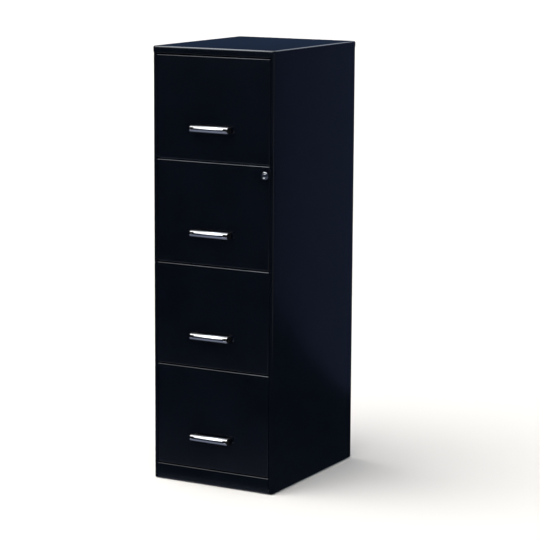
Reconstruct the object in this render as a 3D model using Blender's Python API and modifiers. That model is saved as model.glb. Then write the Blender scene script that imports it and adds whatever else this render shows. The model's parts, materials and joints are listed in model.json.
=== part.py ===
# Four-drawer vertical filing cabinet in folded sheet steel, with bow pulls and a cam lock.
# Metres, +Z up. The fronts face -Y; the origin is the bottom centre of the whole cabinet.
import math

import bmesh
import bpy
from mathutils import Matrix, Vector

# Overall sizes
total_height = 1.160
body_width = 0.361
body_depth = 0.4546
drawer_count = 4

# Sheet and clearances
sheet = 0.0006
touch_gap = 0.0003
cap_clearance = 0.0004
weld_distance = 0.00003
front_corner_radius = 0.006
rear_corner_radius = 0.0035
corner_segments = 4
bend_radius = 0.0015
bend_segments = 3
smooth_angle = math.radians(40)
mostly = 0.5  # a unit normal's component past this faces that way

# Case
foot_drop = 0.003
stile_width = 0.0105
stile_return_depth = 0.045
rear_flange_width = 0.015
cap_flange_height = 0.016
cap_edge_radius = 0.005
rear_post_depth = 0.030
header_flange_depth = 0.024
header_gap = 0.003
kick_top = 0.0435
kick_flange_depth = 0.030
base_height = 0.012
base_flange_height = 0.014
back_bead_inset = 0.045
back_bead_depth = 0.003
back_bead_slope = 0.006

# Drawer fronts
top_margin = 0.0215
drawer_gap = 0.0025
front_side_gap = 0.0012
front_edge_radius = 0.0035
front_edge_segments = 3
front_depth = 0.026
front_lip_width = 0.012
front_notch_height = 0.012

# Rails between the drawers
rail_front_room = 0.002
rail_drop = 0.009
rail_rise = 0.001
rail_flange = 0.009

# Drawer trays
tray_length = 0.395
tray_floor_lift = 0.008
tray_lip = 0.004

# Slides: a channel on the case and a smaller one on the tray, nested in it
slide_space = 0.0127
slide_sheet = 0.0010
slide_height = 0.038
slide_running_gap = 0.0010
slide_length = 0.400
slide_inner_length = 0.380
slide_above_tray_floor = 0.095
slide_behind_front = 0.0015

# Pull handles: a half-round channel on two end posts
handle_length = 0.112
handle_height = 0.019
handle_reach = 0.024
handle_bar_depth = 0.011
handle_wall = 0.0018
handle_arc_steps = 14
handle_below_top = 0.1875
handle_notch_length = 0.012
handle_notch_height = 0.006
handle_notch_rise = 0.0022
post_width = 0.011
post_height = 0.0155
post_edge_radius = 0.0015
post_edge_segments = 2
post_nose_gap = 0.0004
post_nose_setback = 0.0020

# Cam lock in the second drawer front
lock_drawer = 2
lock_from_edge = 0.0135
lock_below_top = 0.0245
lock_face_radius = 0.010
lock_face_height = 0.0026
lock_barrel_radius = 0.0080
lock_face_chamfer = 0.0008
lock_bore_radius = 0.0060
lock_plug_clearance = 0.0003
lock_plug_setback = 0.0004
lock_tail_radius = 0.0030
lock_keyway_width = 0.0014
lock_keyway_height = 0.0072
lock_keyway_depth = 0.0060
lock_nut_radius = 0.0115
lock_nut_height = 0.0035
lock_nut_clearance = 0.0003
cam_barrel_gap = 0.0020
cam_rail_room = 0.0022
cam_rear_room = 0.0084
cam_thickness = 0.0020
cam_width = 0.010
cam_reach = 0.032
cam_hole_clearance = 0.0003
cam_slot_front_room = 0.002
cam_slot_rear_room = 0.002
cam_slot_side_room = 0.001
cam_nut_radius = 0.0055
cam_nut_height = 0.0020
nut_sides = 6
round_steps = 32

# Feet
foot_radius = 0.012
foot_edge = 0.0015
foot_pad_height = 0.008
foot_collar_radius = 0.008
foot_stem_radius = 0.004
foot_stem_top = 0.022
foot_hole_clearance = 0.0004
foot_inset_x = 0.032
foot_inset_y = 0.040
foot_steps = 24

# Places that follow from the sizes above
half_width = body_width / 2
cap_overhang = sheet + cap_clearance
front_y = handle_reach - (handle_reach + body_depth + cap_overhang) / 2
back_y = front_y + body_depth
case_bottom = foot_drop
case_top = total_height - cap_edge_radius
inner_x = half_width - stile_width
front_half_width = inner_x - front_side_gap
tray_half_width = inner_x - touch_gap - slide_space
tray_front_y = front_y + front_depth + touch_gap
tray_back_y = tray_front_y + tray_length
drawer_pitch = (total_height - top_margin - kick_top) / drawer_count
lock_x = front_half_width - lock_from_edge
cam_setback = front_depth - sheet - cam_rear_room
lock_barrel_length = cam_setback - cam_barrel_gap
rail_setback = cam_setback - cam_rail_room - sheet
front_top_flange = rail_setback - rail_front_room
slide_start = front_depth + slide_behind_front
back_panel_y = back_y - sheet - touch_gap
clear_back_y = back_panel_y - back_bead_depth - sheet - touch_gap


def top_of_drawer(number):
    return total_height - top_margin - (number - 1) * drawer_pitch


def floor_of_tray(number):
    return top_of_drawer(number) - drawer_pitch + drawer_gap + tray_floor_lift


# Scene, collections and materials

def clear_scene():
    for old in list(bpy.data.objects):
        bpy.data.objects.remove(old, do_unlink=True)


def new_collection(name):
    made = bpy.data.collections.new(name)
    bpy.context.scene.collection.children.link(made)
    return made


def new_material(name, colour, roughness, metallic):
    made = bpy.data.materials.new(name)
    made.use_nodes = True
    shader = made.node_tree.nodes["Principled BSDF"]
    shader.inputs["Base Color"].default_value = (*colour, 1.0)
    shader.inputs["Roughness"].default_value = roughness
    shader.inputs["Metallic"].default_value = metallic
    return made


clear_scene()
parts = new_collection("filing_cabinet")
cutters = new_collection("cutters")
black_enamel = new_material("black_enamel", (0.012, 0.014, 0.022), 0.42, 0.0)
inner_enamel = new_material("inner_enamel", (0.016, 0.018, 0.024), 0.50, 0.0)
zinc_steel = new_material("zinc_steel", (0.55, 0.56, 0.57), 0.38, 1.0)
bright_chrome = new_material("bright_chrome", (0.80, 0.81, 0.84), 0.12, 1.0)
black_moulding = new_material("black_moulding", (0.010, 0.010, 0.012), 0.50, 0.0)


# Building helpers

def finish_mesh(name, shape, material, parent=None):
    """Turn a bmesh into a named object of the cabinet and free the bmesh."""
    mesh = bpy.data.meshes.new(name)
    shape.to_mesh(mesh)
    shape.free()
    made = bpy.data.objects.new(name, mesh)
    parts.objects.link(made)
    mesh.materials.append(material)
    if parent:
        hang_on(made, parent)
    return made


def hang_on(child, parent):
    """Parent an object whose mesh is in world coordinates, leaving it where it is."""
    child.parent = parent
    child.matrix_parent_inverse = Matrix.Translation(parent.location).inverted()


def joint_empty(name, place, parent=None):
    made = bpy.data.objects.new(name, None)
    made.location = place
    made.empty_display_size = handle_height
    parts.objects.link(made)
    if parent:
        hang_on(made, parent)
    return made


def box_bmesh(low, high):
    shape = bmesh.new()
    bmesh.ops.create_cube(shape, size=1.0)
    size = Vector(high) - Vector(low)
    middle = (Vector(high) + Vector(low)) / 2
    bmesh.ops.scale(shape, vec=size, verts=shape.verts)
    bmesh.ops.translate(shape, vec=middle, verts=shape.verts)
    return shape


def round_edges(shape, edges, radius, segments):
    bmesh.ops.bevel(
        shape,
        geom=edges,
        offset=radius,
        offset_type="OFFSET",
        affect="EDGES",
        segments=segments,
        profile=0.5,
        material=-1,
        clamp_overlap=True,
    )


def add_wall(thing, thickness):
    wall = thing.modifiers.new("wall", "SOLIDIFY")
    wall.thickness = thickness
    wall.offset = -1.0
    wall.use_even_offset = True
    return wall


def bent_sheet(name, path, sweep, thickness, material, radius=bend_radius, parent=None):
    """A folded strip: a path of points, bevelled at its bends, swept along one axis and given a wall.

    Seen with the sweep pointing at the viewer, the wall lies on the left of the path.
    The radius is one size for every bend, or one for each bend in turn.
    """
    shape = bmesh.new()
    points = [shape.verts.new(point) for point in path]
    chain = [shape.edges.new(pair) for pair in zip(points, points[1:])]
    swept = bmesh.ops.extrude_edge_only(shape, edges=chain)
    raised = [item for item in swept["geom"] if isinstance(item, bmesh.types.BMVert)]
    bmesh.ops.translate(shape, vec=sweep, verts=raised)
    first = chain[0].link_faces[0]
    first.normal_update()
    along = Vector(path[1]) - Vector(path[0])
    if first.normal.dot(along.cross(Vector(sweep))) < 0:
        bmesh.ops.reverse_faces(shape, faces=shape.faces)
    corners = path[1:-1]
    radii = radius if isinstance(radius, tuple) else (radius,) * len(corners)
    for corner, bend in zip(corners, radii):
        folds = [edge for edge in shape.edges if len(edge.link_faces) == 2]
        fold = min(folds, key=lambda edge: min((v.co - Vector(corner)).length for v in edge.verts))
        round_edges(shape, [fold], bend, bend_segments)
    made = finish_mesh(name, shape, material, parent)
    add_wall(made, thickness)
    return made


def mirrored_path(path, side):
    """The path on the +X side as drawn, or its mirror image run the other way."""
    if side > 0:
        return path
    return [(-x, y, z) for x, y, z in reversed(path)]


def turned(name, profile, place, material, steps, parent=None):
    """Turn a closed (radius, height) profile about Y through place; height runs into the cabinet.

    A profile starts and ends on the axis, or closes on itself for a ring.
    """
    shape = bmesh.new()
    points = [shape.verts.new((radius, height, 0.0)) for radius, height in profile]
    edges = [shape.edges.new(pair) for pair in zip(points, points[1:])]
    if profile[0][0] > 0:
        edges.append(shape.edges.new((points[-1], points[0])))
    bmesh.ops.spin(
        shape,
        geom=points + edges,
        cent=(0.0, 0.0, 0.0),
        axis=(0.0, 1.0, 0.0),
        angle=math.tau,
        steps=steps,
        use_merge=True,
    )
    bmesh.ops.remove_doubles(shape, verts=shape.verts, dist=weld_distance)
    bmesh.ops.recalc_face_normals(shape, faces=shape.faces)
    bmesh.ops.translate(shape, vec=place, verts=shape.verts)
    made = finish_mesh(name, shape, material, parent)
    made.data.shade_smooth()
    made.data.set_sharp_from_angle(angle=smooth_angle)
    return made


def combine(thing, shape, name, operation):
    """Cut the shape out of a part, or join it on; the shape becomes a wire helper."""
    mesh = bpy.data.meshes.new(name)
    shape.to_mesh(mesh)
    shape.free()
    helper = bpy.data.objects.new(name, mesh)
    helper.hide_render = True
    helper.display_type = "WIRE"
    cutters.objects.link(helper)
    step = thing.modifiers.new(name, "BOOLEAN")
    step.operation = operation
    step.solver = "EXACT"
    step.object = helper


def cut_with(thing, shape, name):
    combine(thing, shape, name, "DIFFERENCE")


def join_with(thing, shape, name):
    combine(thing, shape, name, "UNION")


def cylinder_bmesh(centre, axis, radius, length, steps):
    shape = bmesh.new()
    bmesh.ops.create_cone(
        shape, cap_ends=True, segments=steps, radius1=radius, radius2=radius, depth=length
    )
    turn = Vector((0.0, 0.0, 1.0)).rotation_difference(Vector(axis)).to_matrix()
    bmesh.ops.rotate(shape, cent=(0.0, 0.0, 0.0), matrix=turn, verts=shape.verts)
    bmesh.ops.translate(shape, vec=centre, verts=shape.verts)
    return shape


# The case

def make_side_panel(name, side):
    """Outer side, front stile with its return, and a rear flange, folded from one sheet."""
    path = [
        (inner_x, front_y + stile_return_depth, case_bottom),
        (inner_x, front_y, case_bottom),
        (half_width, front_y, case_bottom),
        (half_width, back_y, case_bottom),
        (half_width - rear_flange_width, back_y, case_bottom),
    ]
    radii = (bend_radius, front_corner_radius, rear_corner_radius)
    rise = (0.0, 0.0, case_top - case_bottom)
    bent_sheet(name, mirrored_path(path, side), rise, sheet, black_enamel, radius=radii[::side])


def make_rear_post(name, side):
    """Channel in the back corner that the slides screw to."""
    post_front = clear_back_y - rear_post_depth
    outer_x = half_width - sheet - touch_gap
    low = base_height + sheet + touch_gap
    path = [
        (outer_x, clear_back_y, low),
        (inner_x, clear_back_y, low),
        (inner_x, post_front, low),
        (outer_x, post_front, low),
    ]
    rise = (0.0, 0.0, case_top - sheet - low)
    bent_sheet(name, mirrored_path(path, side), rise, sheet, zinc_steel)


def make_back_panel():
    """Flat back behind the rear flanges, with one raised rectangular bead field."""
    reach_x = half_width - rear_corner_radius
    low = base_height + sheet + touch_gap
    high = case_top - sheet
    shape = bmesh.new()
    corners = [(reach_x, low), (-reach_x, low), (-reach_x, high), (reach_x, high)]
    plate = shape.faces.new([shape.verts.new((x, back_panel_y, z)) for x, z in corners])
    plate.normal_update()
    bmesh.ops.inset_region(
        shape, faces=[plate], thickness=back_bead_inset, use_even_offset=True, use_boundary=True
    )
    bmesh.ops.inset_region(
        shape, faces=[plate], thickness=back_bead_slope, depth=-back_bead_depth, use_even_offset=True
    )
    made = finish_mesh("back_panel", shape, black_enamel)
    add_wall(made, sheet)


def make_top_cap():
    """Folded lid over the case, soft along its top edge and open below."""
    reach_x = half_width + cap_overhang
    low = (-reach_x, front_y - cap_overhang, total_height - cap_flange_height)
    high = (reach_x, back_y + cap_overhang, total_height)
    shape = box_bmesh(low, high)
    bmesh.ops.delete(shape, geom=[f for f in shape.faces if f.normal.z < -mostly], context="FACES_ONLY")
    for corner_y, radius in ((front_y, front_corner_radius), (back_y, rear_corner_radius)):
        upright = [e for e in shape.edges if abs(e.verts[0].co.z - e.verts[1].co.z) > touch_gap]
        near = [e for e in upright if abs(e.verts[0].co.y - corner_y) < 2 * cap_overhang]
        round_edges(shape, near, radius + cap_overhang, corner_segments)
    rim = [e for e in shape.edges if all(v.co.z > total_height - touch_gap for v in e.verts)]
    round_edges(shape, rim, cap_edge_radius, corner_segments)
    made = finish_mesh("top_cap", shape, black_enamel)
    add_wall(made, sheet)


def make_header_rail():
    """Channel across the front between the stiles, above the first drawer."""
    reach = inner_x - touch_gap
    low = top_of_drawer(1) + header_gap
    high = case_top - sheet
    rear = front_y + header_flange_depth
    path = [(-reach, rear, high), (-reach, front_y, high), (-reach, front_y, low), (-reach, rear, low)]
    bent_sheet("header_rail", path, (reach * 2, 0.0, 0.0), sheet, black_enamel)


def make_cross_rail(name, number):
    """Angle across the case behind the joint above drawer number, notched for the lock cam."""
    reach = inner_x - touch_gap
    web_y = front_y + rail_setback
    low = top_of_drawer(number) - rail_drop
    high = top_of_drawer(number) + rail_rise
    path = [(-reach, web_y, high), (-reach, web_y, low), (-reach, web_y + rail_flange, low)]
    rail = bent_sheet(name, path, (reach * 2, 0.0, 0.0), sheet, zinc_steel)
    notch_low = (lock_x - cam_reach - cam_width, web_y + sheet + touch_gap, low - sheet)
    notch_high = (lock_x + cam_width, web_y + rail_flange + sheet, high + sheet)
    cut_with(rail, box_bmesh(notch_low, notch_high), name + "_notch")


def make_kick_panel():
    """Plinth under the lowest drawer, flush with the fronts."""
    reach = front_half_width
    rear = front_y + kick_flange_depth
    low = case_bottom
    path = [
        (-reach, rear, kick_top),
        (-reach, front_y, kick_top),
        (-reach, front_y, low),
        (-reach, front_y + base_height, low),
    ]
    bent_sheet(
        "kick_panel", path, (reach * 2, 0.0, 0.0), sheet, black_enamel, radius=front_edge_radius
    )


def foot_places():
    x = inner_x - foot_inset_x
    return {
        "foot_front_left": (-x, front_y + foot_inset_y),
        "foot_front_right": (x, front_y + foot_inset_y),
        "foot_rear_left": (-x, back_y - foot_inset_y),
        "foot_rear_right": (x, back_y - foot_inset_y),
    }


def make_base_pan():
    """Floor of the case: a tray with its edges turned up, drilled for the four feet."""
    reach = inner_x - touch_gap
    front = front_y + base_height + touch_gap
    low = (-reach, front, base_height)
    high = (reach, clear_back_y, base_height + base_flange_height)
    shape = box_bmesh(low, high)
    bmesh.ops.delete(shape, geom=[f for f in shape.faces if f.normal.z > mostly], context="FACES_ONLY")
    made = finish_mesh("base_pan", shape, black_enamel)
    add_wall(made, sheet)
    for name, (x, y) in foot_places().items():
        hole = cylinder_bmesh(
            (x, y, base_height), (0.0, 0.0, 1.0), foot_stem_radius + foot_hole_clearance,
            base_flange_height, foot_steps
        )
        cut_with(made, hole, name + "_hole")


def make_foot(name, x, y):
    """Moulded glide whose stem goes up through the base pan."""
    shoulder = base_height - touch_gap
    profile = [
        (0.0, 0.0),
        (foot_radius - foot_edge, 0.0),
        (foot_radius, foot_edge),
        (foot_radius, foot_pad_height - foot_edge),
        (foot_collar_radius, foot_pad_height),
        (foot_collar_radius, shoulder),
        (foot_stem_radius, shoulder),
        (foot_stem_radius, foot_stem_top),
        (0.0, foot_stem_top),
    ]
    made = turned(name, profile, (0.0, 0.0, 0.0), black_moulding, foot_steps)
    upright = Matrix.Rotation(math.radians(90), 4, "X")
    made.data.transform(Matrix.Translation((x, y, 0.0)) @ upright)


def make_case_slide(name, side, number):
    """Outer slide channel, open towards the tray, fixed to the stile return and the rear post."""
    middle = floor_of_tray(number) + slide_above_tray_floor
    web = inner_x - touch_gap
    tip = tray_half_width + touch_gap + slide_sheet + slide_running_gap
    start = front_y + slide_start
    top = middle + slide_height / 2
    bottom = middle - slide_height / 2
    path = [(tip, start, top), (web, start, top), (web, start, bottom), (tip, start, bottom)]
    path = mirrored_path(path, side)
    bent_sheet(name, path, (0.0, slide_length, 0.0), slide_sheet, zinc_steel)


# The drawers

def make_drawer_front(number, parent):
    """Folded front with soft edges, deep flanges and a rear lip that the tray is fixed to."""
    top = top_of_drawer(number)
    bottom = top - drawer_pitch + drawer_gap
    rear = front_y + front_depth
    name = f"drawer_{number}_front"
    shape = box_bmesh((-front_half_width, front_y, bottom), (front_half_width, rear, top))
    back = [f for f in shape.faces if f.normal.y > mostly]
    rim = [e for e in shape.edges if all(v.co.y < front_y + touch_gap for v in e.verts)]
    round_edges(shape, rim, front_edge_radius, front_edge_segments)
    bmesh.ops.inset_region(shape, faces=back, thickness=front_lip_width, use_even_offset=True)
    bmesh.ops.delete(shape, geom=back, context="FACES_ONLY")
    made = finish_mesh(name, shape, black_enamel, parent)
    add_wall(made, sheet)
    rail_room_low = (-body_width, front_y + front_top_flange, top - front_notch_height)
    rail_room_high = (body_width, rear + sheet, top + sheet)
    cut_with(made, box_bmesh(rail_room_low, rail_room_high), name + "_rail_room")
    sweep = math.sqrt(cam_reach**2 - (lock_below_top + drawer_gap) ** 2)
    slot_low = (
        lock_x - sweep - cam_width,
        front_y + cam_setback - cam_slot_front_room,
        bottom - sheet,
    )
    slot_high = (
        lock_x + cam_width / 2 + cam_slot_side_room,
        front_y + cam_setback + cam_thickness + cam_slot_rear_room,
        bottom + 2 * sheet,
    )
    cut_with(made, box_bmesh(slot_low, slot_high), name + "_cam_slot")
    if number == lock_drawer:
        hole = cylinder_bmesh(
            (lock_x, front_y, top - lock_below_top),
            (0.0, 1.0, 0.0),
            lock_barrel_radius + touch_gap,
            lock_barrel_length,
            round_steps,
        )
        cut_with(made, hole, name + "_lock_hole")


def make_drawer_tray(number, parent):
    """Open steel tray; folders hang from the lips along its two sides."""
    low = (-tray_half_width, tray_front_y, floor_of_tray(number))
    brim = top_of_drawer(number) - front_notch_height - touch_gap - sheet
    high = (tray_half_width, tray_back_y, brim)
    shape = box_bmesh(low, high)
    bmesh.ops.delete(shape, geom=[f for f in shape.faces if f.normal.z > mostly], context="FACES_ONLY")
    rim = [e for e in shape.edges if e.is_boundary]
    side_edges = [e for e in rim if abs(e.verts[0].co.x - e.verts[1].co.x) < touch_gap]
    for side_edge in side_edges:
        outward = math.copysign(tray_lip, side_edge.verts[0].co.x)
        lip = bmesh.ops.extrude_edge_only(shape, edges=[side_edge])
        moved = [item for item in lip["geom"] if isinstance(item, bmesh.types.BMVert)]
        bmesh.ops.translate(shape, vec=(outward, 0.0, 0.0), verts=moved)
    made = finish_mesh(f"drawer_{number}_tray", shape, inner_enamel, parent)
    add_wall(made, sheet)


def make_drawer_slide(name, side, number, parent):
    """Inner slide channel fixed to the tray, running inside the case channel."""
    middle = floor_of_tray(number) + slide_above_tray_floor
    web = tray_half_width + touch_gap
    tip = inner_x - touch_gap - slide_sheet - slide_running_gap
    start = front_y + slide_start
    half = slide_height / 2 - slide_sheet - slide_running_gap
    path = [
        (tip, start, middle - half),
        (web, start, middle - half),
        (web, start, middle + half),
        (tip, start, middle + half),
    ]
    path = mirrored_path(path, side)
    bent_sheet(name, path, (0.0, slide_inner_length, 0.0), slide_sheet, zinc_steel, parent=parent)


def handle_outline():
    """Half-round section of the pull, from its top rear edge round the front to its bottom rear edge."""
    rear = front_y - handle_reach + handle_bar_depth
    points = []
    for step in range(handle_arc_steps + 1):
        angle = math.pi * step / handle_arc_steps
        y = rear - handle_bar_depth * math.sin(angle)
        z = handle_height / 2 * math.cos(angle)
        points.append((y, z))
    return points


def make_handle(number, parent):
    """Chromed half-round channel with a notch in each end."""
    middle = top_of_drawer(number) - handle_below_top
    half = handle_length / 2
    name = f"drawer_{number}_handle"
    shape = bmesh.new()
    points = [shape.verts.new((-half, y, middle + z)) for y, z in handle_outline()]
    chain = [shape.edges.new(pair) for pair in zip(points, points[1:])]
    swept = bmesh.ops.extrude_edge_only(shape, edges=chain)
    moved = [item for item in swept["geom"] if isinstance(item, bmesh.types.BMVert)]
    bmesh.ops.translate(shape, vec=(handle_length, 0.0, 0.0), verts=moved)
    middle_face = min(shape.faces, key=lambda face: face.calc_center_median().y)
    middle_face.normal_update()
    if middle_face.normal.y > 0:
        bmesh.ops.reverse_faces(shape, faces=shape.faces)
    made = finish_mesh(name, shape, bright_chrome, parent)
    made.data.shade_smooth()
    add_wall(made, handle_wall)
    notch_low = middle + handle_notch_rise - handle_notch_height / 2
    for side, label in ((-1, "left"), (1, "right")):
        near = side * (half - handle_notch_length)
        far = side * (half + handle_wall)
        low = (min(near, far), front_y - handle_reach - handle_wall, notch_low)
        high = (max(near, far), front_y - touch_gap, notch_low + handle_notch_height)
        cut_with(made, box_bmesh(low, high), f"{name}_notch_{label}")


def make_handle_post(name, side, number, parent):
    """Moulded standoff behind one end of a pull, with a nose that fills the notch."""
    middle = top_of_drawer(number) - handle_below_top
    outer = handle_length / 2 - post_nose_gap
    inner = outer - post_width + post_nose_gap * 2
    low_x, high_x = sorted((side * outer, side * inner))
    shoulder = front_y - handle_reach + handle_bar_depth + touch_gap
    rest = front_y - touch_gap
    shape = box_bmesh(
        (low_x, shoulder, middle - post_height / 2), (high_x, rest, middle + post_height / 2)
    )
    length_edges = [e for e in shape.edges if abs(e.verts[0].co.y - e.verts[1].co.y) > touch_gap]
    round_edges(shape, length_edges, post_edge_radius, post_edge_segments)
    made = finish_mesh(name, shape, black_moulding, parent)
    nose_middle = middle + handle_notch_rise
    nose_half = handle_notch_height / 2 - post_nose_gap
    nose_shape = box_bmesh(
        (low_x + post_nose_gap, front_y - handle_reach + post_nose_setback, nose_middle - nose_half),
        (high_x - post_nose_gap, rest - post_edge_radius, nose_middle + nose_half),
    )
    join_with(made, nose_shape, name + "_nose")


# The lock

def make_lock_housing(place, parent):
    """Flanged sleeve through the drawer front."""
    face = -lock_face_height - touch_gap
    profile = [
        (lock_bore_radius, face + lock_plug_setback),
        (lock_bore_radius + lock_plug_setback, face),
        (lock_face_radius - lock_face_chamfer, face),
        (lock_face_radius, face + lock_face_chamfer),
        (lock_face_radius, -touch_gap),
        (lock_barrel_radius, -touch_gap),
        (lock_barrel_radius, lock_barrel_length),
        (lock_bore_radius, lock_barrel_length),
    ]
    turned("lock_housing", profile, place, bright_chrome, round_steps, parent)


def make_nut(name, place, start, radius, height, bore_radius, parent):
    """Hexagon nut on the lock's axis, its front face at start behind the drawer face."""
    middle = Vector(place) + Vector((0.0, start + height / 2, 0.0))
    shape = cylinder_bmesh(middle, (0.0, 1.0, 0.0), radius, height, nut_sides)
    made = finish_mesh(name, shape, zinc_steel, parent)
    bore = cylinder_bmesh(middle, (0.0, 1.0, 0.0), bore_radius, height * 2, round_steps)
    cut_with(made, bore, name + "_bore")


def make_lock_plug(place, parent):
    """Turning core with its keyway and the tail that carries the cam."""
    radius = lock_bore_radius - lock_plug_clearance
    face = -lock_face_height - touch_gap + lock_plug_setback
    shoulder = cam_setback - touch_gap
    tail_end = cam_setback + cam_thickness + cam_nut_height + touch_gap * 2
    profile = [
        (0.0, face),
        (radius - lock_plug_setback, face),
        (radius, face + lock_plug_setback),
        (radius, shoulder),
        (lock_tail_radius, shoulder),
        (lock_tail_radius, tail_end),
        (0.0, tail_end),
    ]
    plug = turned("lock_plug", profile, place, bright_chrome, round_steps, parent)
    x, y, z = place
    low = (x - lock_keyway_width / 2, y - lock_face_radius, z - lock_keyway_height / 2)
    high = (x + lock_keyway_width / 2, y + face + lock_keyway_depth, z + lock_keyway_height / 2)
    cut_with(plug, box_bmesh(low, high), "lock_keyway")


def make_lock_cam(place, parent):
    """Flat locking arm on the plug's tail: level when unlocked, upright when locked."""
    x, y, z = place
    shape = bmesh.new()
    outline = []
    for step in range(round_steps // 2 + 1):
        angle = math.pi * step / (round_steps // 2) - math.pi / 2
        outline.append((cam_width / 2 * math.cos(angle), cam_width / 2 * math.sin(angle)))
    outline.append((-cam_reach, cam_width / 2))
    outline.append((-cam_reach, -cam_width / 2))
    start = y + cam_setback
    points = [shape.verts.new((x + across, start, z + up)) for across, up in outline]
    plate = shape.faces.new(points)
    grown = bmesh.ops.extrude_face_region(shape, geom=[plate])
    raised = [item for item in grown["geom"] if isinstance(item, bmesh.types.BMVert)]
    bmesh.ops.translate(shape, vec=(0.0, cam_thickness, 0.0), verts=raised)
    bmesh.ops.recalc_face_normals(shape, faces=shape.faces)
    made = finish_mesh("lock_cam", shape, zinc_steel, parent)
    bore = cylinder_bmesh(
        (x, start + cam_thickness / 2, z),
        (0.0, 1.0, 0.0),
        lock_tail_radius + cam_hole_clearance,
        cam_thickness * 2,
        round_steps,
    )
    cut_with(made, bore, "lock_cam_bore")


# Assembly

sides = (("left", -1), ("right", 1))

for label, side in sides:
    make_side_panel(f"side_panel_{label}", side)
    make_rear_post(f"rear_post_{label}", side)
make_back_panel()
make_top_cap()
make_header_rail()
make_kick_panel()
make_base_pan()
for foot_name, (foot_x, foot_y) in foot_places().items():
    make_foot(foot_name, foot_x, foot_y)

for number in range(1, drawer_count + 1):
    if number > 1:
        make_cross_rail(f"cross_rail_{number - 1}", number)
    runner = joint_empty(f"drawer_{number}_joint", (0.0, front_y, floor_of_tray(number)))
    make_drawer_front(number, runner)
    make_drawer_tray(number, runner)
    make_handle(number, runner)
    for label, side in sides:
        make_case_slide(f"case_slide_{number}_{label}", side, number)
        make_drawer_slide(f"drawer_{number}_slide_{label}", side, number, runner)
        make_handle_post(f"drawer_{number}_handle_post_{label}", side, number, runner)
    if number == lock_drawer:
        lock_place = (lock_x, front_y, top_of_drawer(number) - lock_below_top)
        make_lock_housing(lock_place, runner)
        nut_bore = lock_barrel_radius + lock_nut_clearance
        nut_start = sheet + touch_gap
        make_nut("lock_nut", lock_place, nut_start, lock_nut_radius, lock_nut_height, nut_bore, runner)
        turning = joint_empty("lock_joint", lock_place, runner)
        make_lock_plug(lock_place, turning)
        make_lock_cam(lock_place, turning)
        cam_bore = lock_tail_radius + cam_hole_clearance
        behind_cam = cam_setback + cam_thickness + touch_gap
        make_nut("lock_cam_nut", lock_place, behind_cam, cam_nut_radius, cam_nut_height, cam_bore, turning)
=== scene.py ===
# Four drawer filing cabinet: finer pieces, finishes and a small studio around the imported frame.
import json
import math

import bmesh
import bpy
from mathutils import Matrix, Vector


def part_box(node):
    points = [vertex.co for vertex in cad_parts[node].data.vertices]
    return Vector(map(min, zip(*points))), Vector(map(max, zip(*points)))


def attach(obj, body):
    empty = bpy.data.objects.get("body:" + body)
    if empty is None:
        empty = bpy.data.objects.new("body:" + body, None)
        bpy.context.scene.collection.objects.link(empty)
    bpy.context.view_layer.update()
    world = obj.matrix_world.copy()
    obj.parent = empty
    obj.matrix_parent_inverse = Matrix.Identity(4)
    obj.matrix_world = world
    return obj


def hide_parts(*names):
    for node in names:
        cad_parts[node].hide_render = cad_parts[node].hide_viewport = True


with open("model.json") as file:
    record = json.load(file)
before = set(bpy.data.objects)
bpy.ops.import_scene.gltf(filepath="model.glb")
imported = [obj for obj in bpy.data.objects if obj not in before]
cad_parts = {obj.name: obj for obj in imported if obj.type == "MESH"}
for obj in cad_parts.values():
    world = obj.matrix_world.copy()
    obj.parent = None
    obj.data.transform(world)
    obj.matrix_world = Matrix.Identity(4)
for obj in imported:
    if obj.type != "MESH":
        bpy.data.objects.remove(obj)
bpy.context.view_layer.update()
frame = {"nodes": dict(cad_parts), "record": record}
scene = bpy.context.scene
slotOf = {part["node"]: part["material_slot"] for part in frame["record"]["subparts"]}
drawerNumbers = (1, 2, 3, 4)
sides = (("left", -1), ("right", 1))
print("frame loaded,", len(frame["nodes"]), "nodes")

capLow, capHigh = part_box("top_cap")
caseMiddle = (capLow + capHigh) / 2

steel = {
    "sheet": 0.0006,
    "gap": 0.0003,  # play between sheets that touch
    "merge": 0.00002,  # points of a turned shape this close are one
    "facing": 0.5,  # a face whose normal reaches this far along an axis faces that way
    "bend": 0.0015,
    "bendSteps": 5,
    "frontCorner": 0.006,  # where the sides fold round to the front
    "rearCorner": 0.0035,
    "cornerSteps": 8,
}


# camera: a long lens from the front right, a little above the cabinet
view = {
    "azimuth": 28.98,
    "elevation": 9.83,
    "roll": 0.296,
    "lens": 144.4,
    "sensor": 36.0,
    "farEnd": 200.0,
    "place": (2.8284, -5.0245, 1.5481),  # from the middle of the case at floor level
}


def addCamera(v):
    data = bpy.data.cameras.new("studioCamera")
    data.lens = v["lens"]
    data.sensor_width = v["sensor"]
    data.clip_end = v["farEnd"]
    camera = bpy.data.objects.new("studioCamera", data)
    scene.collection.objects.link(camera)
    az = math.radians(v["azimuth"])
    el = math.radians(v["elevation"])
    forward = Vector((-math.sin(az) * math.cos(el), math.cos(az) * math.cos(el), -math.sin(el)))
    right = Vector((math.cos(az), math.sin(az), 0.0))
    turn = Matrix.Rotation(math.radians(v["roll"]), 3, forward)
    right = turn.inverted() @ right
    up = right.cross(forward)
    axes = Matrix((right, up, -forward)).transposed()
    place = Vector(v["place"]) + Vector((caseMiddle.x, caseMiddle.y, 0.0))
    camera.matrix_world = Matrix.Translation(place) @ axes.to_4x4()
    scene.camera = camera


addCamera(view)
print("camera placed")


# finishes
def startMaterial(name, **sockets):
    mat = bpy.data.materials.new(name)
    mat.use_nodes = True
    tree = mat.node_tree
    shader = tree.nodes["Principled BSDF"]
    for socket, value in sockets.items():
        shader.inputs[socket.replace("_", " ")].default_value = value
    place = tree.nodes.new("ShaderNodeTexCoord")
    return mat, tree, shader, place


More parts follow.
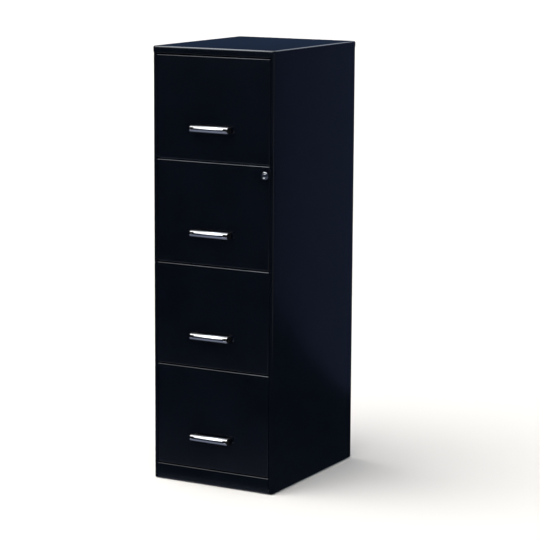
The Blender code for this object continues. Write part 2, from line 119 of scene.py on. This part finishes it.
def addNoise(tree, place, scale, detail=4.0, rough=0.55, stretch=None):
    noise = tree.nodes.new("ShaderNodeTexNoise")
    noise.inputs["Scale"].default_value = scale
    noise.inputs["Detail"].default_value = detail
    noise.inputs["Roughness"].default_value = rough
    source = place.outputs["Object"]
    if stretch:
        mapping = tree.nodes.new("ShaderNodeMapping")
        mapping.inputs["Scale"].default_value = stretch
        tree.links.new(source, mapping.inputs["Vector"])
        source = mapping.outputs["Vector"]
    tree.links.new(source, noise.inputs["Vector"])
    return noise.outputs["Fac"]


def addRamp(tree, source, stops):
    ramp = tree.nodes.new("ShaderNodeValToRGB")
    cells = ramp.color_ramp.elements
    while len(cells) < len(stops):
        cells.new(0.5)
    for cell, (where, colour) in zip(cells, stops):
        cell.position = where
        cell.color = (*colour, 1.0)
    tree.links.new(source, ramp.inputs["Fac"])
    return ramp.outputs["Color"]


def linkTint(tree, shader, source, tones):
    deepEnd, lightEnd = tones["between"]
    tint = addRamp(tree, source, [(deepEnd, tones["deep"]), (lightEnd, tones["light"])])
    tree.links.new(tint, shader.inputs["Base Color"])


def addSpread(tree, source, low, high):
    spread = tree.nodes.new("ShaderNodeMapRange")
    spread.inputs["To Min"].default_value = low
    spread.inputs["To Max"].default_value = high
    tree.links.new(source, spread.inputs["Value"])
    return spread.outputs["Result"]


def addBump(tree, shader, sources):
    last = None
    for height, strength, distance in sources:
        bump = tree.nodes.new("ShaderNodeBump")
        bump.inputs["Strength"].default_value = strength
        bump.inputs["Distance"].default_value = distance
        tree.links.new(height, bump.inputs["Height"])
        if last:
            tree.links.new(last, bump.inputs["Normal"])
        last = bump.outputs["Normal"]
    tree.links.new(last, shader.inputs["Normal"])


enamel = {
    "deep": (0.0011, 0.0018, 0.0036),
    "light": (0.0018, 0.0028, 0.0062),
    "between": (0.3, 0.7),
    "gloss": (0.13, 0.19),
    "peelScale": 420.0,
    "peel": (0.08, 0.0002),  # strength and height of the orange peel
    "waveScale": 7.0,
    "wave": (0.012, 0.002),
    "specular": 0.5,
    "tint": (0.90, 0.94, 1.0, 1.0),
}


def makeEnamel(name, e):
    mat, tree, shader, place = startMaterial(name, Metallic=0.0)
    shader.inputs["Specular IOR Level"].default_value = e["specular"]
    shader.inputs["Specular Tint"].default_value = e["tint"]
    cloud = addNoise(tree, place, e["waveScale"])
    fine = addNoise(tree, place, e["peelScale"], detail=2.0)
    linkTint(tree, shader, cloud, e)
    tree.links.new(addSpread(tree, cloud, *e["gloss"]), shader.inputs["Roughness"])
    addBump(tree, shader, [(cloud, *e["wave"]), (fine, *e["peel"])])
    return mat


zinc = {
    "deep": (0.36, 0.37, 0.38),
    "light": (0.56, 0.57, 0.59),
    "between": (0.25, 0.75),
    "hazeScale": 30.0,
    "spangleScale": 120.0,
    "gloss": (0.26, 0.46),
    "rollScale": 260.0,
    "rollStretch": (1.0, 0.08, 1.0),  # rolled along the slides
    "roll": (0.15, 0.0002),
}


def makeZinc(name, z):
    mat, tree, shader, place = startMaterial(name, Metallic=1.0)
    cells = tree.nodes.new("ShaderNodeTexVoronoi")
    cells.inputs["Scale"].default_value = z["spangleScale"]
    tree.links.new(place.outputs["Object"], cells.inputs["Vector"])
    linkTint(tree, shader, addNoise(tree, place, z["hazeScale"]), z)
    tree.links.new(addSpread(tree, cells.outputs["Color"], *z["gloss"]), shader.inputs["Roughness"])
    rolled = addNoise(tree, place, z["rollScale"], stretch=z["rollStretch"])
    addBump(tree, shader, [(rolled, *z["roll"])])
    return mat


chrome = {
    "deep": (0.40, 0.41, 0.44),
    "light": (0.46, 0.47, 0.50),
    "between": (0.3, 0.7),
    "hazeScale": 45.0,
    "gloss": (0.15, 0.21),
    "hairScale": 420.0,
    "hairStretch": (0.012, 1.0, 1.0),  # polished along the pulls
    "hair": (0.015, 0.0001),
}


def makeChrome(name, c):
    mat, tree, shader, place = startMaterial(name, Metallic=1.0)
    haze = addNoise(tree, place, c["hazeScale"], detail=3.0)
    hair = addNoise(tree, place, c["hairScale"], detail=2.0, stretch=c["hairStretch"])
    linkTint(tree, shader, haze, c)
    tree.links.new(addSpread(tree, haze, *c["gloss"]), shader.inputs["Roughness"])
    addBump(tree, shader, [(hair, *c["hair"])])
    return mat


moulding = {
    "deep": (0.004, 0.004, 0.005),
    "light": (0.008, 0.008, 0.009),
    "between": (0.3, 0.7),
    "specular": 0.22,
    "hazeScale": 60.0,
    "gloss": (0.42, 0.58),
    "grainScale": 1800.0,
    "grain": (0.25, 0.0001),
}


def makeMoulding(name, m):
    mat, tree, shader, place = startMaterial(name, Metallic=0.0)
    shader.inputs["Specular IOR Level"].default_value = m["specular"]
    grain = addNoise(tree, place, m["grainScale"], detail=2.0)
    haze = addNoise(tree, place, m["hazeScale"])
    linkTint(tree, shader, haze, m)
    tree.links.new(addSpread(tree, haze, *m["gloss"]), shader.inputs["Roughness"])
    addBump(tree, shader, [(grain, *m["grain"])])
    return mat


finishes = {
    "black_enamel": makeEnamel("blackEnamel", enamel),
    "inner_enamel": makeEnamel("innerEnamel", {**enamel, "gloss": (0.30, 0.42), "peelScale": 300.0}),
    "zinc_steel": makeZinc("zincSteel", zinc),
    "bright_chrome": makeChrome("brightChrome", chrome),
    "black_moulding": makeMoulding("blackMoulding", moulding),
}
for nodeName, nodeObject in frame["nodes"].items():
    nodeObject.data.materials.clear()
    nodeObject.data.materials.append(finishes[slotOf[nodeName]])
print("finishes made")


# making and finishing a piece
def addPiece(name, shape, slot, body, *nodes):
    mesh = bpy.data.meshes.new(name)
    shape.to_mesh(mesh)
    shape.free()
    mesh.materials.append(finishes[slot])
    piece = bpy.data.objects.new(name, mesh)
    scene.collection.objects.link(piece)
    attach(piece, body)
    if nodes:
        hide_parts(*nodes)
    return piece


def settlePiece(piece, sharpAngle=32.0):
    graph = bpy.context.evaluated_depsgraph_get()
    settled = bpy.data.meshes.new_from_object(piece.evaluated_get(graph))
    piece.modifiers.clear()
    rough = piece.data
    piece.data = settled
    bpy.data.meshes.remove(rough)
    settled.name = piece.name
    settled.shade_smooth()
    settled.set_sharp_from_angle(angle=math.radians(sharpAngle))


def thicken(piece, thickness):
    wall = piece.modifiers.new("wall", "SOLIDIFY")
    wall.thickness = thickness
    wall.offset = -1.0
    wall.use_even_offset = True
    settlePiece(piece)


def reshape(piece, operation, *tools):
    for tool in tools:
        mesh = bpy.data.meshes.new("tool")
        tool.to_mesh(mesh)
        tool.free()
        helper = bpy.data.objects.new("tool", mesh)
        scene.collection.objects.link(helper)
        step = piece.modifiers.new("step", "BOOLEAN")
        step.operation = operation
        step.object = helper
        settlePiece(piece)
        bpy.data.objects.remove(helper)
        bpy.data.meshes.remove(mesh)


def softenEdges(piece, width, segments, angle=40.0, sharpAngle=60.0):
    soft = piece.modifiers.new("soft", "BEVEL")
    soft.width = width
    soft.segments = segments
    soft.limit_method = "ANGLE"
    soft.angle_limit = math.radians(angle)
    soft.use_clamp_overlap = True
    settlePiece(piece, sharpAngle)


def boxShape(low, high):
    shape = bmesh.new()
    bmesh.ops.create_cube(shape, size=1.0)
    low, high = Vector(low), Vector(high)
    bmesh.ops.scale(shape, vec=high - low, verts=shape.verts)
    bmesh.ops.translate(shape, vec=(low + high) / 2, verts=shape.verts)
    return shape


def roundEdges(shape, edges, radius, segments):
    bmesh.ops.bevel(shape, geom=edges, offset=radius, offset_type="OFFSET", affect="EDGES",
                    segments=segments, profile=0.5, material=-1, clamp_overlap=True)


def foldedShape(path, sweep, radii, segments):
    # a strip along a path of points, swept one way, with a radius for each bend; the wall goes on its left
    shape = bmesh.new()
    points = [shape.verts.new(point) for point in path]
    chain = [shape.edges.new(pair) for pair in zip(points, points[1:])]
    swept = bmesh.ops.extrude_edge_only(shape, edges=chain)
    raised = [item for item in swept["geom"] if isinstance(item, bmesh.types.BMVert)]
    bmesh.ops.translate(shape, vec=sweep, verts=raised)
    first = chain[0].link_faces[0]
    first.normal_update()
    along = Vector(path[1]) - Vector(path[0])
    if first.normal.dot(along.cross(Vector(sweep))) < 0:
        bmesh.ops.reverse_faces(shape, faces=shape.faces)
    for corner, radius in zip(path[1:-1], radii):
        folds = [edge for edge in shape.edges if len(edge.link_faces) == 2]
        fold = min(folds, key=lambda edge: min((v.co - Vector(corner)).length for v in edge.verts))
        roundEdges(shape, [fold], radius, segments)
    return shape


def addTurned(shape, profile, place, facing, steps):
    # spins a (radius, depth) profile about an axis; depth runs against the way it faces
    turned = bmesh.new()
    points = [turned.verts.new((radius, depth, 0.0)) for radius, depth in profile]
    edges = [turned.edges.new(pair) for pair in zip(points, points[1:])]
    if profile[0][0] > 0:
        edges.append(turned.edges.new((points[-1], points[0])))
    bmesh.ops.spin(turned, geom=points + edges, cent=(0.0, 0.0, 0.0), axis=(0.0, 1.0, 0.0),
                   angle=math.tau, steps=steps, use_merge=True)
    bmesh.ops.remove_doubles(turned, verts=turned.verts, dist=steel["merge"])
    bmesh.ops.recalc_face_normals(turned, faces=turned.faces)
    turn = Vector((0.0, -1.0, 0.0)).rotation_difference(Vector(facing)).to_matrix()
    bmesh.ops.rotate(turned, cent=(0.0, 0.0, 0.0), matrix=turn, verts=turned.verts)
    bmesh.ops.translate(turned, vec=place, verts=turned.verts)
    carrier = bpy.data.meshes.new("carrier")
    turned.to_mesh(carrier)
    turned.free()
    shape.from_mesh(carrier)
    bpy.data.meshes.remove(carrier)


# case
topCap = {"edge": 0.005, "overhang": 0.001, "steps": 8}


def makeTopCap(c):
    low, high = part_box("top_cap")
    shape = boxShape(low, high)
    under = [f for f in shape.faces if f.normal.z < -steel["facing"]]
    bmesh.ops.delete(shape, geom=under, context="FACES_ONLY")
    for cornerY, radius in ((low.y, steel["frontCorner"]), (high.y, steel["rearCorner"])):
        upright = [e for e in shape.edges if abs(e.verts[0].co.z - e.verts[1].co.z) > c["edge"]]
        near = [e for e in upright if abs(e.verts[0].co.y - cornerY) < steel["gap"]]
        roundEdges(shape, near, radius + c["overhang"], c["steps"])
    rim = [e for e in shape.edges if min(v.co.z for v in e.verts) > high.z - steel["gap"]]
    roundEdges(shape, rim, c["edge"], c["steps"])
    thicken(addPiece("topCapFolded", shape, "black_enamel", "case", "top_cap"), steel["sheet"])


sidePanel = {"stile": 0.0105, "return": 0.045, "rearFlange": 0.015}


def makeSidePanel(label, side, p):
    low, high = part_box("side_panel_" + label)
    outer = max(abs(low.x), abs(high.x))
    inner = outer - p["stile"]
    path = [(inner, low.y + p["return"]), (inner, low.y), (outer, low.y), (outer, high.y),
            (outer - p["rearFlange"], high.y)]
    radii = (steel["bend"], steel["frontCorner"], steel["rearCorner"])
    if side < 0:
        path = [(-x, y) for x, y in reversed(path)]
        radii = radii[::-1]
    shape = foldedShape([(x, y, low.z) for x, y in path], (0.0, 0.0, high.z - low.z),
                        radii, steel["cornerSteps"])
    piece = addPiece("sidePanel" + label.title(), shape, "black_enamel", "case", "side_panel_" + label)
    thicken(piece, steel["sheet"])


def makeHeaderRail():
    low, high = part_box("header_rail")
    path = [(low.x, high.y, high.z), (low.x, low.y, high.z), (low.x, low.y, low.z), (low.x, high.y, low.z)]
    shape = foldedShape(path, (high.x - low.x, 0.0, 0.0), (steel["bend"],) * 2, steel["bendSteps"])
    thicken(addPiece("headerRailFolded", shape, "black_enamel", "case", "header_rail"), steel["sheet"])


kickPanel = {"edge": 0.002, "steps": 6, "foot": 0.012}


def makeKickPanel(k):
    low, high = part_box("kick_panel")
    path = [(low.x, high.y, high.z), (low.x, low.y, high.z), (low.x, low.y, low.z),
            (low.x, low.y + k["foot"], low.z)]
    shape = foldedShape(path, (high.x - low.x, 0.0, 0.0), (k["edge"],) * 2, k["steps"])
    thicken(addPiece("kickPanelFolded", shape, "black_enamel", "case", "kick_panel"), steel["sheet"])


backPanel = {"inset": 0.045, "depth": 0.003, "slope": 0.006, "soften": 0.0035, "steps": 4,
             "foldAngle": 5.0}


def makeBackPanel(b):
    low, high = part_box("back_panel")
    shape = bmesh.new()
    corners = [(high.x, low.z), (low.x, low.z), (low.x, high.z), (high.x, high.z)]
    plate = shape.faces.new([shape.verts.new((x, high.y, z)) for x, z in corners])
    plate.normal_update()
    bmesh.ops.inset_region(shape, faces=[plate], thickness=b["inset"], use_even_offset=True,
                           use_boundary=True)
    bmesh.ops.inset_region(shape, faces=[plate], thickness=b["slope"], depth=-b["depth"],
                           use_even_offset=True)
    joined = [e for e in shape.edges if len(e.link_faces) == 2]
    folds = [e for e in joined if e.calc_face_angle() > math.radians(b["foldAngle"])]
    roundEdges(shape, folds, b["soften"], b["steps"])
    thicken(addPiece("backPanelPressed", shape, "black_enamel", "case", "back_panel"), steel["sheet"])


rivet = {"radius": 0.0032, "height": 0.0009, "steps": 12, "domeSteps": 3}


def addRivet(shape, place, facing, r):
    profile = [(0.0, -r["height"])]
    for step in range(1, r["domeSteps"] + 1):
        angle = math.pi / 2 * step / r["domeSteps"]
        profile.append((r["radius"] * math.sin(angle), -r["height"] * math.cos(angle)))
    profile.append((0.0, 0.0))
    addTurned(shape, profile, place, facing, r["steps"])


backRivets = {"fromEdge": 0.0075, "fromEnd": 0.060, "rows": 6}


def makeBackRivets(b):
    shape = bmesh.new()
    for label, side in sides:
        low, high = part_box("side_panel_" + label)
        x = side * (max(abs(low.x), abs(high.x)) - b["fromEdge"])
        pitch = (high.z - low.z - 2 * b["fromEnd"]) / (b["rows"] - 1)
        for row in range(b["rows"]):
            addRivet(shape, (x, high.y, low.z + b["fromEnd"] + row * pitch), (0.0, 1.0, 0.0), rivet)
    settlePiece(addPiece("backRivets", shape, "black_enamel", "case"))


makeTopCap(topCap)
for label, side in sides:
    makeSidePanel(label, side, sidePanel)
makeHeaderRail()
makeKickPanel(kickPanel)
makeBackPanel(backPanel)
makeBackRivets(backRivets)
print("case folded")


# drawers
drawerFront = {
    "edge": 0.0035,
    "steps": 8,
    "lip": 0.012,
    "notch": 0.012,  # height cut out of the rear lip for the rail behind it
    "topFlange": 0.0122,
    "camRoom": 0.002,
    "camSide": 0.006,
    "camSweep": 0.027,
    "holeSteps": 48,
    "holeDepth": 0.020,
}
lockLow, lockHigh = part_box("lock_housing")
camLow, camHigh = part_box("lock_cam")
lockMiddle = (lockLow + lockHigh) / 2


def makeDrawerFront(number, d):
    node = f"drawer_{number}_front"
    low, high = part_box(node)
    shape = boxShape(low, high)
    back = [f for f in shape.faces if f.normal.y > steel["facing"]]
    rim = [e for e in shape.edges if max(v.co.y for v in e.verts) < low.y + steel["gap"]]
    roundEdges(shape, rim, d["edge"], d["steps"])
    bmesh.ops.inset_region(shape, faces=back, thickness=d["lip"], use_even_offset=True)
    bmesh.ops.delete(shape, geom=back, context="FACES_ONLY")
    piece = addPiece(f"drawer{number}FrontFolded", shape, "black_enamel", f"drawer_{number}", node)
    thicken(piece, steel["sheet"])
    beyond = 2 * steel["sheet"]
    railRoom = boxShape((low.x - beyond, low.y + d["topFlange"], high.z - d["notch"]),
                        (high.x + beyond, high.y + beyond, high.z + beyond))
    sweep = lockMiddle.x - d["camSweep"] - d["camSide"]
    camSlot = boxShape((sweep, camLow.y - d["camRoom"], low.z - beyond),
                       (lockMiddle.x + d["camSide"], camHigh.y + d["camRoom"], low.z + beyond))
    reshape(piece, "DIFFERENCE", railRoom, camSlot)
    if low.z < lockLow.z and lockHigh.z < high.z:  # the front that carries the lock
        hole = bmesh.new()
        radius = lockBarrel["barrel"] + steel["gap"]
        bmesh.ops.create_cone(hole, cap_ends=True, segments=d["holeSteps"], radius1=radius, radius2=radius,
                              depth=d["holeDepth"])
        turn = Matrix.Rotation(math.pi / 2, 3, "X")
        bmesh.ops.rotate(hole, cent=(0.0, 0.0, 0.0), matrix=turn, verts=hole.verts)
        bmesh.ops.translate(hole, vec=(lockMiddle.x, low.y, lockMiddle.z), verts=hole.verts)
        reshape(piece, "DIFFERENCE", hole)


drawerTray = {"lip": 0.004, "bend": 0.002, "bendSteps": 4, "ribAt": 0.075, "ribWidth": 0.016,
              "ribFromEnd": 0.035, "ribRise": 0.0022, "ribSlope": 0.004}


def makeDrawerTray(number, t):
    node = f"drawer_{number}_tray"
    low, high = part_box(node)
    half = high.x - t["lip"]
    shape = boxShape((-half, low.y, low.z), (half, high.y, high.z - steel["sheet"]))
    mouth = [f for f in shape.faces if f.normal.z > steel["facing"]]
    bmesh.ops.delete(shape, geom=mouth, context="FACES_ONLY")
    corners = [e for e in shape.edges if not e.is_boundary]
    rim = [e for e in shape.edges if e.is_boundary]
    for edge in [e for e in rim if abs(e.verts[0].co.x - e.verts[1].co.x) < steel["gap"]]:
        outward = math.copysign(t["lip"], edge.verts[0].co.x)
        lip = bmesh.ops.extrude_edge_only(shape, edges=[edge])
        moved = [item for item in lip["geom"] if isinstance(item, bmesh.types.BMVert)]
        bmesh.ops.translate(shape, vec=(outward, 0.0, 0.0), verts=moved)
    roundEdges(shape, corners, t["bend"], t["bendSteps"])
    for across in (-1, 1):  # two stiffening ribs pressed up along the floor
        for edge in (-1, 1):
            cut = across * t["ribAt"] + edge * t["ribWidth"] / 2
            bmesh.ops.bisect_plane(shape, geom=shape.verts[:] + shape.edges[:] + shape.faces[:],
                                   plane_co=(cut, 0.0, 0.0), plane_no=(1.0, 0.0, 0.0))
    for end in (low.y + t["ribFromEnd"], high.y - t["ribFromEnd"]):
        bmesh.ops.bisect_plane(shape, geom=shape.verts[:] + shape.edges[:] + shape.faces[:],
                               plane_co=(0.0, end, 0.0), plane_no=(0.0, 1.0, 0.0))
    shape.normal_update()
    ribs = []
    for face in shape.faces:
        centre = face.calc_center_median()
        onRib = abs(abs(centre.x) - t["ribAt"]) < t["ribWidth"] / 2
        between = low.y + t["ribFromEnd"] < centre.y < high.y - t["ribFromEnd"]
        if onRib and between and face.normal.z < -steel["facing"]:
            ribs.append(face)
    bmesh.ops.inset_individual(shape, faces=ribs, thickness=t["ribSlope"], depth=-t["ribRise"])
    piece = addPiece(f"drawer{number}TrayPressed", shape, "inner_enamel", f"drawer_{number}", node)
    thicken(piece, steel["sheet"])


slideRivets = {"along": (0.045, 0.180, 0.330)}


def makeSlideRivets(number, s):
    shape = bmesh.new()
    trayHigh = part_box(f"drawer_{number}_tray")[1]
    for label, side in sides:
        low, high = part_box(f"drawer_{number}_slide_{label}")
        x = side * (trayHigh.x - drawerTray["lip"] - steel["sheet"])
        for along in s["along"]:
            addRivet(shape, (x, low.y + along, (low.z + high.z) / 2), (-side, 0.0, 0.0), rivet)
    settlePiece(addPiece(f"drawer{number}SlideRivets", shape, "zinc_steel", f"drawer_{number}"))


pull = {
    "wall": 0.0018,
    "steps": 24,
    "notchLength": 0.012,
    "notchHeight": 0.006,
    "notchRise": 0.0022,  # above the middle of the bow
    "soft": 0.0004,
    "softSteps": 2,
    "postSoft": 0.0016,
    "postSteps": 5,
    "noseGap": 0.0004,
    "noseBack": 0.0020,
    "noseSoft": 0.0003,
}


def makePull(number, p):
    node = f"drawer_{number}_handle"
    low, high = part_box(node)
    middle = (low + high) / 2
    deep = high.y - low.y
    tall = high.z - low.z
    shape = bmesh.new()
    points = []
    for step in range(p["steps"] + 1):
        angle = math.pi * step / p["steps"]
        y = high.y - deep * math.sin(angle)
        z = middle.z + tall / 2 * math.cos(angle)
        points.append(shape.verts.new((low.x, y, z)))
    chain = [shape.edges.new(pair) for pair in zip(points, points[1:])]
    swept = bmesh.ops.extrude_edge_only(shape, edges=chain)
    moved = [item for item in swept["geom"] if isinstance(item, bmesh.types.BMVert)]
    bmesh.ops.translate(shape, vec=(high.x - low.x, 0.0, 0.0), verts=moved)
    shape.normal_update()
    if min(shape.faces, key=lambda face: face.calc_center_median().y).normal.y > 0:
        bmesh.ops.reverse_faces(shape, faces=shape.faces)
    piece = addPiece(f"drawer{number}Pull", shape, "bright_chrome", f"drawer_{number}", node)
    thicken(piece, p["wall"])
    for label, side in sides:
        near = middle.x + side * ((high.x - low.x) / 2 - p["notchLength"])
        far = near + side * (p["notchLength"] + p["wall"])
        notch = middle.z + p["notchRise"]
        reshape(piece, "DIFFERENCE",
                boxShape((min(near, far), low.y - p["wall"], notch - p["notchHeight"] / 2),
                         (max(near, far), high.y + p["wall"], notch + p["notchHeight"] / 2)))
    softenEdges(piece, p["soft"], p["softSteps"])


def makePullPost(number, label, p):
    node = f"drawer_{number}_handle_post_{label}"
    low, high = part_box(node)
    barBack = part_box(f"drawer_{number}_handle")[1].y
    middle = (low + high) / 2
    shape = boxShape((low.x, barBack + steel["gap"], low.z), high)
    lengthways = [e for e in shape.edges if abs(e.verts[0].co.y - e.verts[1].co.y) > steel["gap"]]
    roundEdges(shape, lengthways, p["postSoft"], p["postSteps"])
    piece = addPiece(f"drawer{number}PullPost{label.title()}", shape, "black_moulding",
                     f"drawer_{number}", node)
    noseHalf = p["notchHeight"] / 2 - p["noseGap"]
    notch = middle.z + p["notchRise"]
    nose = boxShape((low.x + p["noseGap"], low.y + p["noseBack"], notch - noseHalf),
                    (high.x - p["noseGap"], high.y - p["postSoft"], notch + noseHalf))
    reshape(piece, "UNION", nose)
    softenEdges(piece, p["noseSoft"], p["softSteps"])


# lock
lockBarrel = {
    "face": 0.010,
    "barrel": 0.0080,
    "bore": 0.0060,
    "rim": 0.0014,  # rounding of the sleeve's outer rim
    "rimSteps": 4,
    "lead": 0.0004,
    "steps": 64,
    "plugGap": 0.0003,
    "dimple": (0.0016, 0.0003),  # radius and depth of the hollow in the core's face
    "tail": 0.003,
    "keywayWidth": 0.0014,
    "keywayHeight": 0.0072,
    "keywayDepth": 0.0060,
    "keywaySoft": 0.0001,
    "keywayAngle": 60.0,
}


def makeLock(k):
    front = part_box("drawer_2_front")[0].y
    place = (lockMiddle.x, front, lockMiddle.z)
    face = lockLow.y - front
    rear = lockHigh.y - front
    shape = bmesh.new()
    profile = [(k["bore"], face + k["lead"]), (k["bore"] + k["lead"], face)]
    for step in range(k["rimSteps"] + 1):
        angle = math.pi / 2 * step / k["rimSteps"]
        radius = k["face"] - k["rim"] * (1 - math.sin(angle))
        profile.append((radius, face + k["rim"] * (1 - math.cos(angle))))
    profile += [(k["face"], -steel["gap"]), (k["barrel"], -steel["gap"]), (k["barrel"], rear),
                (k["bore"], rear)]
    addTurned(shape, profile, place, (0.0, -1.0, 0.0), k["steps"])
    settlePiece(addPiece("lockSleeve", shape, "bright_chrome", "drawer_2", "lock_housing"))

    plugLow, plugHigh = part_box("lock_plug")
    radius = k["bore"] - k["plugGap"]
    plugFace = plugLow.y - front
    plugRear = plugHigh.y - front
    shoulder = camLow.y - front - steel["gap"]
    dimple, dimpleDepth = k["dimple"]
    shape = bmesh.new()
    profile = [(0.0, plugFace + dimpleDepth), (dimple, plugFace), (radius - k["lead"], plugFace),
               (radius, plugFace + k["lead"]), (radius, shoulder), (k["tail"], shoulder),
               (k["tail"], plugRear), (0.0, plugRear)]
    addTurned(shape, profile, place, (0.0, -1.0, 0.0), k["steps"])
    plug = addPiece("lockCore", shape, "bright_chrome", "lock", "lock_plug")
    settlePiece(plug)
    halfWidth = k["keywayWidth"] / 2
    halfHeight = k["keywayHeight"] / 2
    keyway = boxShape((lockMiddle.x - halfWidth, plugLow.y - k["lead"], lockMiddle.z - halfHeight),
                      (lockMiddle.x + halfWidth, plugLow.y + k["keywayDepth"], lockMiddle.z + halfHeight))
    reshape(plug, "DIFFERENCE", keyway)
    softenEdges(plug, k["keywaySoft"], 1, k["keywayAngle"])


for number in drawerNumbers:
    makeDrawerFront(number, drawerFront)
    makeDrawerTray(number, drawerTray)
    makeSlideRivets(number, slideRivets)
    makePull(number, pull)
    for label, side in sides:
        makePullPost(number, label, pull)
    print("drawer", number, "made")
makeLock(lockBarrel)
print("lock made")


# floor and light
studio = {
    "floorSize": 80.0,
    "wallHeight": 15.0,  # the paper is swept up all round, so that no low view looks past it
    "wallSweep": 12.0,
    "wallSteps": 16,
    "floorPale": (0.900, 0.900, 0.900),
    "floorShade": (0.875, 0.877, 0.880),
    "cloudScale": 0.7,
    "cloudEnds": (0.2, 0.8),
    "paperRoughness": 0.9,
    "underSky": (0.30, 0.33, 0.42),  # what faces tipped down mirror
    "lowSky": (0.0110, 0.0190, 0.0320),  # what sheer sides mirror
    "highSky": (0.0230, 0.0400, 0.0830),  # what the top mirrors
    "skyLevels": (0.29, 0.36, 0.50, 0.525),  # 0 is straight down, 0.5 the horizon, 1 straight up
    "domeFrom": (-0.35, -0.40, 1.0),
    "domeStrength": 4.2,
    "domeSpread": 80.0,
    "domeColour": (1.0, 0.965, 0.90),
}
# panels that only show as sheen on the enamel and the chrome; glow is their brightness, whatever their size
sheenPanels = {
    "overheadStrip": {
        "place": (-1.45, -1.60, 3.45), "target": (-1.45, -1.60, 0.0),
        "size": (0.8, 5.0), "glow": 5.2,
        "colour": (0.86, 0.94, 1.0),
    },
    "overheadPanel": {
        "place": (0.95, 0.0, 3.5), "target": (0.95, 0.0, 0.0),
        "size": (2.6, 3.4), "glow": 2.4,
        "colour": (0.88, 0.93, 1.0),
    },
    "frontSoftbox": {
        "place": (-2.0, -3.60, 2.55), "target": (0.0, 0.0, 1.0),
        "size": (1.8, 1.7), "glow": 1.2,
        "colour": (0.92, 0.97, 1.0),
    },
    "rearSoftbox": {
        "place": (0.55, 2.7, 2.65), "target": (0.0, 0.0, 1.1),
        "size": (2.4, 0.9), "glow": 1.8,
        "colour": (0.85, 0.92, 1.0),
    },
    "sidePanel": {
        "place": (1.10, 1.55, 0.75), "target": (1.769, 0.807, 0.75),
        "size": (2.6, 1.5), "glow": 0.10,
        "colour": (0.38, 0.46, 1.0),
    },
    "rightStrip": {
        "place": (2.90, -1.10, 0.62), "target": (0.1, -0.2, 0.9),
        "size": (0.5, 1.6), "glow": 1.4,
        "colour": (0.92, 0.96, 1.0),
    },
}


def pointAt(obj, place, target):
    obj.location = place
    obj.rotation_euler = (Vector(target) - Vector(place)).to_track_quat("-Z", "Y").to_euler()


def addFloor(s):
    shape = bmesh.new()
    bmesh.ops.create_grid(shape, x_segments=1, y_segments=1, size=s["floorSize"] / 2)
    wall = bmesh.ops.extrude_edge_only(shape, edges=shape.edges[:])
    raised = [item for item in wall["geom"] if isinstance(item, bmesh.types.BMVert)]
    bmesh.ops.translate(shape, vec=(0.0, 0.0, s["wallHeight"]), verts=raised)
    folds = [e for e in shape.edges if max(v.co.z for v in e.verts) < steel["gap"]]
    roundEdges(shape, folds, s["wallSweep"], s["wallSteps"])
    bmesh.ops.recalc_face_normals(shape, faces=shape.faces)
    mesh = bpy.data.meshes.new("studioFloor")
    shape.to_mesh(mesh)
    shape.free()
    mesh.shade_smooth()
    floor = bpy.data.objects.new("studioFloor", mesh)
    scene.collection.objects.link(floor)
    mat, tree, shader, place = startMaterial("palePaper", Roughness=s["paperRoughness"])
    shader.inputs["Specular IOR Level"].default_value = 0.0
    cloud = addNoise(tree, place, s["cloudScale"])
    tones = {"between": s["cloudEnds"], "deep": s["floorShade"], "light": s["floorPale"]}
    linkTint(tree, shader, cloud, tones)
    mesh.materials.append(mat)
    floor.visible_glossy = False  # keeps the white floor out of the black enamel


def addSky(s):
    world = bpy.data.worlds.new("studioWorld")
    world.use_nodes = True
    tree = world.node_tree
    half = 0.5  # turns a direction's Z, from -1 to 1, into a level from 0 to 1
    direction = tree.nodes.new("ShaderNodeTexCoord")
    split = tree.nodes.new("ShaderNodeSeparateXYZ")
    tree.links.new(direction.outputs["Generated"], split.inputs["Vector"])
    level = tree.nodes.new("ShaderNodeMath")
    level.operation = "MULTIPLY_ADD"
    level.inputs[1].default_value = half
    level.inputs[2].default_value = half
    tree.links.new(split.outputs["Z"], level.inputs[0])
    tones = (s["underSky"], s["lowSky"], s["lowSky"], s["highSky"])
    tint = addRamp(tree, level.outputs["Value"], list(zip(s["skyLevels"], tones)))
    tree.links.new(tint, tree.nodes["Background"].inputs["Color"])
    scene.world = world


def addLights(s, panels):
    dome = bpy.data.lights.new("overheadDome", "SUN")
    dome.energy = s["domeStrength"]
    dome.angle = math.radians(s["domeSpread"])
    dome.color = s["domeColour"]
    domeObject = bpy.data.objects.new("overheadDome", dome)
    scene.collection.objects.link(domeObject)
    pointAt(domeObject, s["domeFrom"], (0.0, 0.0, 0.0))

    for name, p in panels.items():
        panel = bpy.data.lights.new(name, "AREA")
        panel.shape = "RECTANGLE"
        panel.size, panel.size_y = p["size"]
        panel.energy = p["glow"] * math.pi * panel.size * panel.size_y
        panel.color = p["colour"]
        panelObject = bpy.data.objects.new(name, panel)
        scene.collection.objects.link(panelObject)
        pointAt(panelObject, p["place"], p["target"])
        panelObject.visible_diffuse = False
        panelObject.visible_camera = False


addFloor(studio)
addSky(studio)
addLights(studio, sheenPanels)
scene.view_settings.view_transform = "Standard"
print("studio lit")
